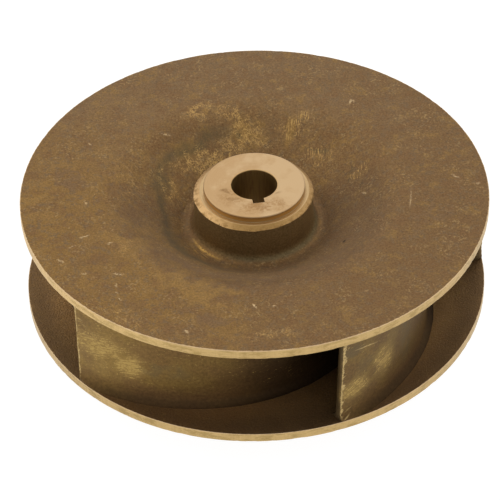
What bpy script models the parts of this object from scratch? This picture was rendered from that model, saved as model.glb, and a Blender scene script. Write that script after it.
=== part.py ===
# Closed bronze pump impeller, hub side up, standing on its eye collar.
# Run with: blender --background --python part.py
#
# The real impeller is one casting, turned on its rims, hub and collar. It is modelled as the portions
# that a pump fitter names: the hub boss, the dished web and flat back disc round it, five backward-curved
# vanes, and the front disc, eye throat and eye collar below them. Neighbours meet with a hair's gap.
#
# Units are metres. +Z is the shaft axis, towards the drive side. The origin is on that axis, at the level
# of the eye collar's end face. The keyway points along -Y.

import bmesh
import bpy
from math import acos, cos, log, pi, radians, sin, tan
from mathutils import Vector

# Driving dimensions
RIM_RADIUS = 0.130
RIM_THICKNESS = 0.0054
OUTLET_WIDTH = 0.0553
COLLAR_DROP = 0.0220

BORE_RADIUS = 0.0127
KEY_WIDTH = 0.00635
KEY_DEPTH = 0.0031

HUB_RADIUS = 0.0332
HUB_FACE_RADIUS = 0.0277
HUB_FACE_RISE = 0.0039
HUB_STEP = 0.0033
HUB_CHAMFER_WIDTH = 0.0028
HUB_CHAMFER_DROP = 0.0022
HUB_FOOT_FILLET = 0.0053

MOAT_RADIUS = 0.078
MOAT_SLOPE = radians(32.0)
MOAT_SHOULDER_RADIUS = 0.030
WEB_SPLIT_RADIUS = 0.0390

NOSE_HEIGHT = 0.0340
NOSE_RADIUS = 0.0225
NOSE_ROOT_RADIUS = 0.0355

EYE_RADIUS = 0.0720
COLLAR_RADIUS = 0.0800
COLLAR_CHAMFER = 0.0010
COLLAR_SPLIT = 0.0120
THROAT_BEND = 0.0140
THROAT_OUTER_BEND = 0.0060
THROAT_SPLIT_RADIUS = 0.0880

VANE_COUNT = 5
FRONT_VANE_AZIMUTH = radians(281.4)
FRONT_VANE_STEP = radians(68.8)
VANE_TIP_RADIUS = 0.1270
VANE_EYE_RADIUS = 0.0780
VANE_HUB_RADIUS = 0.0520
VANE_TIP_THICKNESS = 0.0042
VANE_MID_THICKNESS = 0.0052
VANE_EDGE_THICKNESS = 0.0034
# Tangent of the blade angle, which grows from the rim inwards: VANE_SLOPE_BASE - VANE_SLOPE_FALL * r / rim
VANE_SLOPE_BASE = 0.54
VANE_SLOPE_FALL = 0.29

SEAT_GAP = 0.0003
CUTTER_OVERRUN = 0.010
ROUNDING = 1e-6
MERGE_DISTANCE = 1e-7
SHARP_ANGLE = radians(35.0)

# Bronze as it shows: dull where it was cast, rubbed on the vanes, bright where it was turned
CAST_COLOUR = (0.27, 0.175, 0.085)
CAST_ROUGHNESS = 0.55
VANE_COLOUR = (0.33, 0.235, 0.105)
VANE_ROUGHNESS = 0.45
TURNED_COLOUR = (0.66, 0.47, 0.27)
TURNED_ROUGHNESS = 0.35

# Fineness of the faceted shapes
TURN_STEPS = 80
BORE_STEPS = 80
CHORD_ERROR = 0.00012
VANE_STATIONS = 26
EDGE_STATIONS = 8

# Heights that follow from the dimensions
FRONT_OUTER_Z = COLLAR_DROP
FRONT_INNER_Z = FRONT_OUTER_Z + RIM_THICKNESS
BACK_INNER_Z = FRONT_INNER_Z + OUTLET_WIDTH
BACK_OUTER_Z = BACK_INNER_Z + RIM_THICKNESS
HUB_FACE_Z = BACK_OUTER_Z + HUB_FACE_RISE
HUB_LAND_Z = HUB_FACE_Z - HUB_STEP
HUB_EDGE_Z = HUB_LAND_Z - HUB_CHAMFER_DROP


def clear_scene():
    for thing in list(bpy.data.objects):
        bpy.data.objects.remove(thing, do_unlink=True)


def bronze(name, colour, roughness):
    """A metallic Principled material."""
    material = bpy.data.materials.new(name)
    material.use_nodes = True
    shader = material.node_tree.nodes["Principled BSDF"]
    shader.inputs["Base Color"].default_value = (*colour, 1.0)
    shader.inputs["Metallic"].default_value = 1.0
    shader.inputs["Roughness"].default_value = roughness
    return material


def rounded_line(corners):
    """Points of a line through (r, z, corner radius) corners, each corner replaced by an arc."""
    points = []
    for i, (r, z, radius) in enumerate(corners):
        here = Vector((r, z))
        if radius == 0 or i in (0, len(corners) - 1):
            points.append(here)
            continue
        before = (Vector(corners[i - 1][:2]) - here).normalized()
        after = (Vector(corners[i + 1][:2]) - here).normalized()
        half = before.angle(after) / 2
        start = here + before * (radius / tan(half))
        centre = here + (before + after).normalized() * (radius / sin(half))
        turn = pi - 2 * half
        steps = max(2, round(turn / (2 * acos(1 - CHORD_ERROR / radius))))
        arm = start - centre
        end_arm = here + after * (radius / tan(half)) - centre
        sense = 1 if arm.x * end_arm.y - arm.y * end_arm.x > 0 else -1
        for k in range(steps + 1):
            angle = sense * turn * k / steps
            across = arm.x * cos(angle) - arm.y * sin(angle)
            upwards = arm.x * sin(angle) + arm.y * cos(angle)
            points.append(centre + Vector((across, upwards)))
    return points


def height_on(line, r):
    """Height of a line of (r, z) points at radius r."""
    for a, b in zip(line, line[1:]):
        if min(a.x, b.x) - ROUNDING <= r <= max(a.x, b.x) + ROUNDING and a.x != b.x:
            return a.y + (b.y - a.y) * (r - a.x) / (b.x - a.x)
    raise ValueError(f"radius {r} lies off the line")


def between(line, low, high):
    """The stretch of a line whose radius lies from low to high, with cut ends."""
    inside = [p for p in line if low + ROUNDING < p.x < high - ROUNDING]
    ends = [Vector((r, height_on(line, r))) for r in (low, high)]
    return ends[:1] + sorted(inside, key=lambda p: p.x) + ends[1:]


def link(name, mesh, material):
    thing = bpy.data.objects.new(name, mesh)
    bpy.context.scene.collection.objects.link(thing)
    mesh.materials.append(material)
    mesh.shade_smooth()
    mesh.set_sharp_from_angle(angle=SHARP_ANGLE)
    return thing


def turned(name, section, material, steps=TURN_STEPS):
    """A closed section of (r, z) points, spun about the shaft axis."""
    bm = bmesh.new()
    ring = [bm.verts.new((p.x, 0.0, p.y)) for p in section]
    edges = [bm.edges.new(pair) for pair in zip(ring, ring[1:] + ring[:1])]
    bmesh.ops.spin(
        bm, geom=ring + edges, cent=(0, 0, 0), axis=(0, 0, 1), angle=2 * pi, steps=steps, use_merge=True
    )
    bmesh.ops.remove_doubles(bm, verts=bm.verts, dist=MERGE_DISTANCE)
    bmesh.ops.recalc_face_normals(bm, faces=bm.faces)
    mesh = bpy.data.meshes.new(name)
    bm.to_mesh(mesh)
    bm.free()
    return link(name, mesh, material)


def back_face_line():
    """Drive-side surface of the back shroud, from the hub wall across the moat to the rim."""
    foot_z = BACK_OUTER_Z - (MOAT_RADIUS - HUB_RADIUS) * tan(MOAT_SLOPE)
    return rounded_line([
        (HUB_RADIUS, HUB_EDGE_Z, 0),
        (HUB_RADIUS, foot_z, HUB_FOOT_FILLET),
        (MOAT_RADIUS, BACK_OUTER_Z, MOAT_SHOULDER_RADIUS),
        (RIM_RADIUS, BACK_OUTER_Z, 0),
    ])


def back_flow_line():
    """Water-side surface of the back shroud, from the hub's nose out to the rim."""
    shoulder_r = MOAT_RADIUS - RIM_THICKNESS * tan(MOAT_SLOPE / 2)
    root_z = BACK_INNER_Z - (shoulder_r - NOSE_ROOT_RADIUS) * tan(MOAT_SLOPE)
    return rounded_line([
        (NOSE_RADIUS, NOSE_HEIGHT, 0),
        (NOSE_ROOT_RADIUS, root_z, MOAT_SHOULDER_RADIUS),
        (shoulder_r, BACK_INNER_Z, MOAT_SHOULDER_RADIUS + RIM_THICKNESS),
        (RIM_RADIUS, BACK_INNER_Z, 0),
    ])


def front_flow_line():
    """Water-side surface of the front shroud, from the eye's wall out to the rim."""
    return rounded_line([
        (EYE_RADIUS, 0.0, 0),
        (EYE_RADIUS, FRONT_INNER_Z, THROAT_BEND),
        (RIM_RADIUS, FRONT_INNER_Z, 0),
    ])


def hub_boss(material):
    """The hub with its stepped face, and the nose that reaches down into the eye."""
    face_line = back_face_line()
    foot = [p for p in face_line if p.x < WEB_SPLIT_RADIUS and p.y < HUB_EDGE_Z]
    foot.append(Vector((WEB_SPLIT_RADIUS, height_on(face_line[1:], WEB_SPLIT_RADIUS))))
    nose = between(back_flow_line(), NOSE_RADIUS, WEB_SPLIT_RADIUS)
    top = [
        Vector((HUB_RADIUS, HUB_EDGE_Z)),
        Vector((HUB_RADIUS - HUB_CHAMFER_WIDTH, HUB_LAND_Z)),
        Vector((HUB_FACE_RADIUS, HUB_LAND_Z)),
        Vector((HUB_FACE_RADIUS, HUB_FACE_Z)),
        Vector((BORE_RADIUS, HUB_FACE_Z)),
        Vector((BORE_RADIUS, NOSE_HEIGHT)),
    ]
    hub = turned("hub_boss", nose + foot[::-1] + top, material, BORE_STEPS)

    cutter_height = HUB_FACE_Z - NOSE_HEIGHT + 2 * CUTTER_OVERRUN
    bpy.ops.mesh.primitive_cube_add(
        size=1.0, location=(0.0, -(BORE_RADIUS + KEY_DEPTH) / 2, (HUB_FACE_Z + NOSE_HEIGHT) / 2)
    )
    cutter = bpy.context.object
    cutter.name = "keyway_cutter"
    cutter.data.transform(
        ((KEY_WIDTH, 0, 0, 0), (0, BORE_RADIUS + KEY_DEPTH, 0, 0), (0, 0, cutter_height, 0), (0, 0, 0, 1))
    )
    cutter.hide_render = True
    cutter.display_type = "WIRE"
    keyway = hub.modifiers.new("keyway", "BOOLEAN")
    keyway.operation = "DIFFERENCE"
    keyway.solver = "EXACT"
    keyway.object = cutter
    return hub


def dished_web(material):
    """The sloping web between the hub boss and the flat back disc."""
    low = WEB_SPLIT_RADIUS + SEAT_GAP
    top = between(back_face_line()[1:], low, MOAT_RADIUS)
    under = between(back_flow_line(), low, MOAT_RADIUS)
    return turned("dished_web", under + top[::-1], material)


def back_disc(material):
    """The flat outer part of the back shroud."""
    low = MOAT_RADIUS + SEAT_GAP
    top = between(back_face_line()[1:], low, RIM_RADIUS)
    under = between(back_flow_line(), low, RIM_RADIUS)
    return turned("back_disc", under + top[::-1], material)


def front_disc(material):
    """The flat outer part of the front shroud."""
    low = THROAT_SPLIT_RADIUS + SEAT_GAP
    section = [
        Vector((low, FRONT_OUTER_Z)),
        Vector((RIM_RADIUS, FRONT_OUTER_Z)),
        Vector((RIM_RADIUS, FRONT_INNER_Z)),
        Vector((low, FRONT_INNER_Z)),
    ]
    return turned("front_disc", section, material)


def eye_throat(material):
    """The bend that turns the front shroud down into the eye."""
    flow = front_flow_line()
    inner = [p for p in flow if COLLAR_SPLIT < p.y and p.x < THROAT_SPLIT_RADIUS]
    outer = rounded_line([
        (THROAT_SPLIT_RADIUS, FRONT_OUTER_Z, 0),
        (COLLAR_RADIUS, FRONT_OUTER_Z, THROAT_OUTER_BEND),
        (COLLAR_RADIUS, COLLAR_SPLIT, 0),
    ])
    section = [Vector((EYE_RADIUS, COLLAR_SPLIT))] + inner + [Vector((THROAT_SPLIT_RADIUS, FRONT_INNER_Z))]
    return turned("eye_throat", section + outer, material)


def eye_collar(material):
    """The turned collar that runs in the pump's wear ring. The impeller stands on its end face."""
    top = COLLAR_SPLIT - SEAT_GAP
    section = [
        Vector((EYE_RADIUS + COLLAR_CHAMFER, 0.0)),
        Vector((COLLAR_RADIUS - COLLAR_CHAMFER, 0.0)),
        Vector((COLLAR_RADIUS, COLLAR_CHAMFER)),
        Vector((COLLAR_RADIUS, top)),
        Vector((EYE_RADIUS, top)),
        Vector((EYE_RADIUS, COLLAR_CHAMFER)),
    ]
    return turned("eye_collar", section, material)


def vane_turn(r):
    """Angle by which a vane has wrapped round the shaft on its way in from the tip to radius r."""
    def integral(x):
        return log(x / (VANE_SLOPE_BASE - VANE_SLOPE_FALL * x / RIM_RADIUS)) / VANE_SLOPE_BASE
    return integral(VANE_TIP_RADIUS) - integral(r)


def vane_thickness(r):
    """Thin at the tip, fullest half-way in, thinnest at the leading edge."""
    share = (VANE_TIP_RADIUS - r) / (VANE_TIP_RADIUS - VANE_HUB_RADIUS)
    if share < 0.5:
        return VANE_TIP_THICKNESS + (VANE_MID_THICKNESS - VANE_TIP_THICKNESS) * 2 * share
    return VANE_MID_THICKNESS + (VANE_EDGE_THICKNESS - VANE_MID_THICKNESS) * (2 * share - 1)


def vane_section(r, azimuth):
    """Points on a vane's convex side, mean line and hollow side at radius r, square to the mean line."""
    angle = azimuth + vane_turn(r)
    slope = VANE_SLOPE_BASE - VANE_SLOPE_FALL * r / RIM_RADIUS
    out = Vector((cos(angle), sin(angle)))
    around = Vector((-sin(angle), cos(angle)))
    square = (out + around * slope).normalized() * vane_thickness(r) / 2
    return out * r + square, out * r, out * r - square


def vane(name, azimuth, material):
    """One vane: side walls parallel to the shaft, top and foot on the shrouds, and a sloping leading edge."""
    back_line = back_flow_line()
    front_line = front_flow_line()
    eye_z = height_on(front_line[1:], VANE_EYE_RADIUS) + SEAT_GAP
    hub_z = height_on(back_line, VANE_HUB_RADIUS) - SEAT_GAP
    blade_run = VANE_TIP_RADIUS - VANE_EYE_RADIUS
    edge_run = VANE_EYE_RADIUS - VANE_HUB_RADIUS
    outer = [VANE_TIP_RADIUS - blade_run * k / VANE_STATIONS for k in range(VANE_STATIONS + 1)]
    edge = [VANE_EYE_RADIUS - edge_run * k / EDGE_STATIONS for k in range(1, EDGE_STATIONS)]
    bm = bmesh.new()
    rings = []
    for r in outer + edge:
        feet = []
        tops = []
        for point in vane_section(r, azimuth):
            reach = min(point.length, RIM_RADIUS)
            if r >= VANE_EYE_RADIUS:
                foot = height_on(front_line[1:], reach) + SEAT_GAP
            else:
                foot = eye_z + (hub_z - eye_z) * (VANE_EYE_RADIUS - r) / edge_run
            feet.append(bm.verts.new((*point, foot)))
            tops.append(bm.verts.new((*point, height_on(back_line, reach) - SEAT_GAP)))
        rings.append(feet + tops[::-1])
    for a, b in zip(rings, rings[1:]):
        for k in range(len(a)):
            after = (k + 1) % len(a)
            bm.faces.new((a[k], a[after], b[after], b[k]))
    bm.faces.new(rings[0])
    bm.faces.new(rings[-1])
    bmesh.ops.recalc_face_normals(bm, faces=bm.faces)
    bmesh.ops.triangulate(bm, faces=bm.faces)
    mesh = bpy.data.meshes.new(name)
    bm.to_mesh(mesh)
    bm.free()
    return link(name, mesh, material)


def vane_azimuths():
    """The two front vanes stand FRONT_VANE_STEP apart, and the others share the rest of the turn."""
    step = (2 * pi - FRONT_VANE_STEP) / (VANE_COUNT - 1)
    others = [FRONT_VANE_AZIMUTH + step * k for k in range(VANE_COUNT - 1)]
    return [FRONT_VANE_AZIMUTH - FRONT_VANE_STEP] + others


def main():
    clear_scene()
    cast = bronze("cast_bronze", CAST_COLOUR, CAST_ROUGHNESS)
    worn = bronze("vane_bronze", VANE_COLOUR, VANE_ROUGHNESS)
    turned_metal = bronze("turned_bronze", TURNED_COLOUR, TURNED_ROUGHNESS)
    hub_boss(turned_metal)
    dished_web(cast)
    back_disc(cast)
    front_disc(cast)
    eye_throat(cast)
    eye_collar(turned_metal)
    for number, azimuth in enumerate(vane_azimuths(), start=1):
        vane(f"vane_{number}", azimuth, worn)


main()
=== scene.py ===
# %% [markdown]
# # A bronze pump impeller
# This lesson dresses a closed pump impeller: a back shroud with a keyed hub in a dish, a front shroud with
# a turned collar, and five curved vanes between them. The real thing is one bronze casting. A lathe has
# brightened its rims and the hub's face, and everything else that shows keeps the browned skin of the mould.
# The photograph hides the whole front side, so the collar and all below the front disc are guesses.
#
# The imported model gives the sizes. Every new surface is worked out with numpy from those sizes, and every
# finish is a small graph of shader nodes.

# %% The frame
from math import cos, degrees, pi, radians, sin, tan

import bpy
import numpy as np
from mathutils import Matrix, Vector


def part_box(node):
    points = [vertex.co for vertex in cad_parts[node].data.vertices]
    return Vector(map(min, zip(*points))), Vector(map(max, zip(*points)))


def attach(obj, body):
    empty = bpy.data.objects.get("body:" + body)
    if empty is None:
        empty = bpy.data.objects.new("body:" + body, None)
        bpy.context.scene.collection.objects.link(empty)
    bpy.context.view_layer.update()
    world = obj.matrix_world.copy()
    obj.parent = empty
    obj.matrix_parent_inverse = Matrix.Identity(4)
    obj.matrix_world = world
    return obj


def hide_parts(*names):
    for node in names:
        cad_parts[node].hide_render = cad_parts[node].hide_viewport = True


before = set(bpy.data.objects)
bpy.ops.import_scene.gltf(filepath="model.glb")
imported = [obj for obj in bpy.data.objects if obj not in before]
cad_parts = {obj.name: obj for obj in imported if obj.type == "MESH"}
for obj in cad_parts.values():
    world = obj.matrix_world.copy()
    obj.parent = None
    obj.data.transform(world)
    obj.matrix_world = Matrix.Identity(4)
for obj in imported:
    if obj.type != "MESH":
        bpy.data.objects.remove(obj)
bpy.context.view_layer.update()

MM = 0.001
print("nodes in the frame:", ", ".join(sorted(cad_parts)))

# %% [markdown]
# ## Sizes
# Heights and outside radii are read from the frame, so the skins sit exactly where the solids are. Sizes that
# a bounding box can't give, such as fillets and the dish's slope, repeat the part's own drawing. Only the
# hub's face, step and chamfer are drawn again, by up to half a millimetre, to follow the photograph.

# %% Sizes read from the frame
RIM_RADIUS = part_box("back_disc")[1].x
BACK_OUTER_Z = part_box("back_disc")[1].z
FRONT_OUTER_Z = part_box("front_disc")[0].z
FRONT_INNER_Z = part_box("front_disc")[1].z
RIM_THICKNESS = FRONT_INNER_Z - FRONT_OUTER_Z
BACK_INNER_Z = BACK_OUTER_Z - RIM_THICKNESS
HUB_FACE_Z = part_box("hub_boss")[1].z
NOSE_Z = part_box("hub_boss")[0].z
COLLAR_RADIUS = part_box("eye_collar")[1].x
COLLAR_TOP_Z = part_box("eye_collar")[1].z
print(f"rims {2 * RIM_RADIUS / MM:.0f} mm across, hub face at {HUB_FACE_Z / MM:.1f} mm")

# %% Sizes from the part's drawing
BORE_RADIUS = 12.7 * MM
KEY_WIDTH = 6.35 * MM
KEY_DEPTH = 3.1 * MM
KEY_AZIMUTH = -pi / 2

HUB_RADIUS = 33.2 * MM
HUB_FACE_RADIUS = 28.2 * MM
HUB_LAND_Z = HUB_FACE_Z - 3.7 * MM
HUB_CHAMFER_WIDTH = 2.8 * MM
HUB_CHAMFER_DROP = 1.8 * MM
HUB_EDGE_Z = HUB_LAND_Z - HUB_CHAMFER_DROP
HUB_FOOT_FILLET = 5.3 * MM

MOAT_RADIUS = 78.0 * MM
MOAT_SLOPE = radians(32.0)
MOAT_SHOULDER = 30.0 * MM

NOSE_RADIUS = 22.5 * MM
NOSE_ROOT_RADIUS = 35.5 * MM
EYE_RADIUS = 72.0 * MM
THROAT_BEND = 14.0 * MM
THROAT_OUTER_BEND = 6.0 * MM

VANE_COUNT = 5
FRONT_VANE_AZIMUTH = radians(281.4)
FRONT_VANE_STEP = radians(68.8)
VANE_TIP_RADIUS = 127.0 * MM
VANE_EYE_RADIUS = 78.0 * MM
VANE_HUB_RADIUS = 52.0 * MM
VANE_THICKNESS = (4.2 * MM, 5.2 * MM, 3.4 * MM)
VANE_SLOPE_BASE = 0.54
VANE_SLOPE_FALL = 0.29

# %% [markdown]
# ## The camera
# The photograph looks down on the rims from about forty degrees. The camera's distance, height, lens and
# slight roll came from fitting the outlines of both rims, taken as equal in size. The distance and the lens
# are the least certain, since each can make up for much of the other.

# %% Camera
CAMERA_DISTANCE = 10.166 * RIM_RADIUS
CAMERA_ELEVATION = radians(39.68)
CAMERA_AZIMUTH = radians(-8.7)
CAMERA_ROLL = -0.0212
CAMERA_YAW = -0.0018
CAMERA_PITCH = -0.0253
CAMERA_LENS = 171.5
SENSOR_WIDTH = 36.0
TOWARDS_CAMERA = Vector((
    sin(CAMERA_AZIMUTH) * cos(CAMERA_ELEVATION),
    -cos(CAMERA_AZIMUTH) * cos(CAMERA_ELEVATION),
    sin(CAMERA_ELEVATION),
))


def add_camera():
    """A camera aimed at the centre of the back shroud, then turned by its small yaw, pitch and roll."""
    right = Vector((cos(CAMERA_AZIMUTH), sin(CAMERA_AZIMUTH), 0))
    up = TOWARDS_CAMERA.cross(right)
    rolled_right = right * cos(CAMERA_ROLL) + up * sin(CAMERA_ROLL)
    rolled_up = up * cos(CAMERA_ROLL) - right * sin(CAMERA_ROLL)
    ahead = (rolled_right * tan(CAMERA_YAW) + rolled_up * tan(CAMERA_PITCH) - TOWARDS_CAMERA).normalized()
    side = ahead.cross(rolled_up).normalized()
    top = side.cross(ahead)
    data = bpy.data.cameras.new("camera")
    data.lens = CAMERA_LENS
    data.sensor_width = SENSOR_WIDTH
    camera = bpy.data.objects.new("camera", data)
    bpy.context.scene.collection.objects.link(camera)
    place = Vector((0, 0, BACK_OUTER_Z)) + TOWARDS_CAMERA * CAMERA_DISTANCE
    camera.matrix_world = Matrix.Translation(place) @ Matrix((side, top, -ahead)).transposed().to_4x4()
    bpy.context.scene.camera = camera
    print(f"camera {CAMERA_DISTANCE:.3f} m from the shroud, lens {CAMERA_LENS} mm")


add_camera()

# %% [markdown]
# ## Noise on arrays
# A casting is never quite flat, and turned edges are never quite whole. To shape that unevenness as real
# geometry, the points are moved by smooth noise: random values sit on the corners of a cubic lattice, and
# each point blends the eight values round it. All points are handled at once.


# %% Lattice noise
CELL_FACTORS = np.array([374761393, 668265263, 2147483647])
SEED_FACTOR = 974634777
MIX_FACTOR = 1274126177
LOW_31_BITS = 0x7FFFFFFF
LOW_16_BITS = 0xFFFF
PROBE_SPOTS = 1000


def lattice_value(cell, seed):
    """A repeatable value from -1 to 1 for each whole-number cell, by mixing its bits with large factors."""
    mixed = (cell * CELL_FACTORS).sum(-1) + seed * SEED_FACTOR
    mixed = (mixed ^ (mixed >> 13)) * MIX_FACTOR & LOW_31_BITS
    mixed = (mixed ^ (mixed >> 16)) & LOW_16_BITS
    return mixed * 2 / LOW_16_BITS - 1.0


def noise(points, size, seed=0):
    """Smooth noise from -1 to 1: the eight lattice values round each point, blended by 3t^2 - 2t^3."""
    place = np.asarray(points) / size
    low = np.floor(place).astype(np.int64)
    share = place - low
    share = share * share * (3 - 2 * share)
    total = np.zeros(place.shape[:-1])
    for corner in range(8):
        step = np.array([corner & 1, corner >> 1 & 1, corner >> 2 & 1])
        weight = np.prod(np.where(step, share, 1 - share), axis=-1)
        total += weight * lattice_value(low + step, seed)
    return total


def layered(points, layers):
    """The sum of several noises, each (size, strength, seed)."""
    return sum(noise(points, size, seed) * strength for size, strength, seed in layers)


def ring_layers(angles, radius, layers):
    """Noise along a circle of the given radius, so that it closes on itself."""
    ring = np.stack([radius * np.cos(angles), radius * np.sin(angles), np.zeros_like(angles)], -1)
    return layered(ring, layers)


probe = ring_layers(np.linspace(0, 2 * pi, PROBE_SPOTS), RIM_RADIUS, [(10 * MM, 1.0, 0)])
print(f"noise from {probe.min():.2f} to {probe.max():.2f}")

# %% [markdown]
# ## From a grid to a mesh
# Every skin is a grid of points. A grid that closes both ways is a ring-shaped surface, which suits anything
# turned on a lathe. Faces are found by index arithmetic, and the enclosed volume's sign tells whether they
# point outwards.

# %% Grid meshes
SHARP_ANGLE = radians(40)


def grid_quads(rows, columns, wrap_rows=True, wrap_columns=True):
    """Corner indices of each square of a grid, where point (i, j) has the index i * columns + j."""
    i = np.arange(rows if wrap_rows else rows - 1)[:, None]
    j = np.arange(columns if wrap_columns else columns - 1)[None, :]
    after_i = (i + 1) % rows
    after_j = (j + 1) % columns
    corners = [i * columns + j, after_i * columns + j, after_i * columns + after_j, i * columns + after_j]
    return np.stack(np.broadcast_arrays(*corners), -1).reshape(-1, 4)


def facing_out(points, quads):
    """The quads, all turned round if the volume they enclose, as tetrahedra on the origin, is negative."""
    a, b, c, d = (points[quads[:, k]] for k in range(4))
    volume = np.einsum("ij,ij->", a, np.cross(b, c)) + np.einsum("ij,ij->", a, np.cross(c, d))
    return quads if volume > 0 else quads[:, ::-1]


def add_object(name, data):
    thing = bpy.data.objects.new(name, data)
    bpy.context.scene.collection.objects.link(thing)
    return thing


def add_mesh(name, points, finish, quads=None, uv=None):
    """A smooth mesh from a grid of points, which closes both ways unless its quads are given."""
    quads = grid_quads(*points.shape[:2]) if quads is None else quads
    points = points.reshape(-1, 3)
    quads = facing_out(points, quads)
    mesh = bpy.data.meshes.new(name)
    mesh.vertices.add(len(points))
    mesh.vertices.foreach_set("co", points.astype(np.float32).ravel())
    mesh.loops.add(quads.size)
    mesh.loops.foreach_set("vertex_index", quads.astype(np.int32).ravel())
    mesh.polygons.add(len(quads))
    mesh.polygons.foreach_set("loop_start", np.arange(0, quads.size, 4, dtype=np.int32))
    mesh.update(calc_edges=True)
    if uv is not None:
        layer = mesh.uv_layers.new(name="run")
        layer.data.foreach_set("uv", uv.reshape(-1, 2)[quads.ravel()].astype(np.float32).ravel())
    mesh.shade_smooth()
    mesh.set_sharp_from_angle(angle=SHARP_ANGLE)
    mesh.materials.append(finish)
    print(f"{name}: {len(points)} points, {2 * len(quads)} triangles")
    return add_object(name, mesh)


# %% [markdown]
# ## Section lines
# A turned shape is its section, carried round the axis. The sections are short lists of corners, each with
# the radius that it is rounded by and the spacing of the points after it. Rounds of a quarter millimetre
# stand for the broken edges that a lathe hand leaves, and they catch the light.

# %% Rounded section lines
EDGE_BREAK = 0.25 * MM
SUPPORT = 0.15 * MM
ARC_STEP = radians(22.5)
COARSE = 5.0 * MM
FINE = 3.0 * MM
CLOSE = 1.2 * MM
UNSEEN = None


def run_points(start, end, step):
    """Points between start and end, no further apart than step, with one close to each end."""
    length = np.hypot(*(end - start))
    if step is UNSEEN or length < SUPPORT:
        return np.empty((0, 2))
    shares = np.linspace(0, 1, int(np.ceil(length / step)) + 1)
    if length > 6 * SUPPORT:
        shares = np.unique(np.concatenate([shares, [SUPPORT / length, 1 - SUPPORT / length]]))
    return start + (end - start) * shares[1:-1, None]


def rounded_corner(before, here, after, q, step):
    """Points of the arc of radius q that rounds a corner.

    It starts q / tan(half) before the corner, half being half the angle between the corner's two sides. Its
    centre lies q / sin(half) from the corner on the bisector, and the arc turns by pi - 2 half.
    """
    if q == 0:
        return here[None, :]
    to_before = (before - here) / np.hypot(*(before - here))
    to_after = (after - here) / np.hypot(*(after - here))
    half = np.arccos(np.clip(to_before @ to_after, -1, 1)) / 2
    bisector = (to_before + to_after) / np.hypot(*(to_before + to_after))
    centre = here + bisector * q / sin(half)
    arm = here + to_before * q / tan(half) - centre
    end = here + to_after * q / tan(half) - centre
    turn = pi - 2 * half
    count = int(max(np.ceil(turn / ARC_STEP), np.ceil(q * turn / step)))
    angles = np.sign(arm[0] * end[1] - arm[1] * end[0]) * np.linspace(0, turn, count + 1)
    c, s = np.cos(angles), np.sin(angles)
    return centre + np.stack([arm[0] * c - arm[1] * s, arm[0] * s + arm[1] * c], -1)


def section_line(corners):
    """Closed line of points (r, z) through (r, z, corner radius, spacing after it) corners."""
    places = [np.array(corner[:2]) for corner in corners]
    count = len(corners)
    arcs = [
        rounded_corner(places[k - 1], places[k], places[(k + 1) % count], *corners[k][2:])
        for k in range(count)
    ]
    line = []
    for k in range(count):
        line += [arcs[k], run_points(arcs[k][-1], arcs[(k + 1) % count][0], corners[k][3])]
    return np.concatenate(line)


def height_on(corners, radius):
    """Height, at each radius, of the stretch of a section that these corners describe."""
    last = np.array(corners[-1][:2])
    line = section_line([(*corners[0][:2], 0, UNSEEN), *corners[1:-1], (*last, 0, UNSEEN)])
    order = np.argsort(line[:, 0], kind="stable")
    return np.interp(radius, line[order, 0], line[order, 1])


def angles_round(count):
    return np.arange(count) * 2 * pi / count


def turn_about_axis(section, angles):
    """Grid of points: row i carries the whole section to angle i. A section may differ by row."""
    section = np.broadcast_to(section, (len(angles), *section.shape[-2:]))
    r, z = section[..., 0], section[..., 1]
    return np.stack([r * np.cos(angles)[:, None], r * np.sin(angles)[:, None], z], -1)


# %% [markdown]
# ## The shrouds' lines
# The vanes have to meet the shrouds exactly, so each shroud's lines are written once and used for both. The
# back shroud dips to the hub in a dish whose outer shoulder is a wide, soft bend.

# %% The shrouds' corners
SHOULDER_RADIUS = MOAT_RADIUS - RIM_THICKNESS * tan(MOAT_SLOPE / 2)
MOAT_FOOT_Z = BACK_OUTER_Z - (MOAT_RADIUS - HUB_RADIUS) * tan(MOAT_SLOPE)
NOSE_ROOT_Z = BACK_INNER_Z - (SHOULDER_RADIUS - NOSE_ROOT_RADIUS) * tan(MOAT_SLOPE)

BACK_FACE = [
    (HUB_RADIUS, HUB_EDGE_Z, 0, FINE),
    (HUB_RADIUS, MOAT_FOOT_Z, HUB_FOOT_FILLET, FINE),
    (MOAT_RADIUS, BACK_OUTER_Z, MOAT_SHOULDER, FINE),
    (RIM_RADIUS, BACK_OUTER_Z, EDGE_BREAK, CLOSE),
]
BACK_WATER_SIDE = [
    (RIM_RADIUS, BACK_INNER_Z, EDGE_BREAK, COARSE),
    (SHOULDER_RADIUS, BACK_INNER_Z, MOAT_SHOULDER + RIM_THICKNESS, COARSE),
    (NOSE_ROOT_RADIUS, NOSE_ROOT_Z, MOAT_SHOULDER, COARSE),
    (NOSE_RADIUS, NOSE_Z, 0, UNSEEN),
]
FRONT_WATER_SIDE = [
    (EYE_RADIUS, COLLAR_TOP_Z, 0, COARSE),
    (EYE_RADIUS, FRONT_INNER_Z, THROAT_BEND, FINE),
    (RIM_RADIUS, FRONT_INNER_Z, EDGE_BREAK, CLOSE),
]
print(f"the dish is {(BACK_OUTER_Z - MOAT_FOOT_Z) / MM:.1f} mm deep")

# %% [markdown]
# ## Shader maths in plain Python
# A finish is a graph of nodes, and graphs are hard to read as lists of links. Here a small class wraps a
# socket, so that an expression such as `1 - mask * 2` adds the Math nodes itself. One method makes every
# other kind of node. Inside a finish all lengths are millimetres, which keeps the numbers short.


# %% Wires
def math_method(operation, swapped=False):
    """A method that adds a Math node, with its operands in the order in which they were written."""
    def add_node(self, *others):
        operands = (*others, self) if swapped else (self, *others)
        return self.graph.node("ShaderNodeMath", {"operation": operation}, dict(enumerate(operands)))
    return add_node


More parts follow.
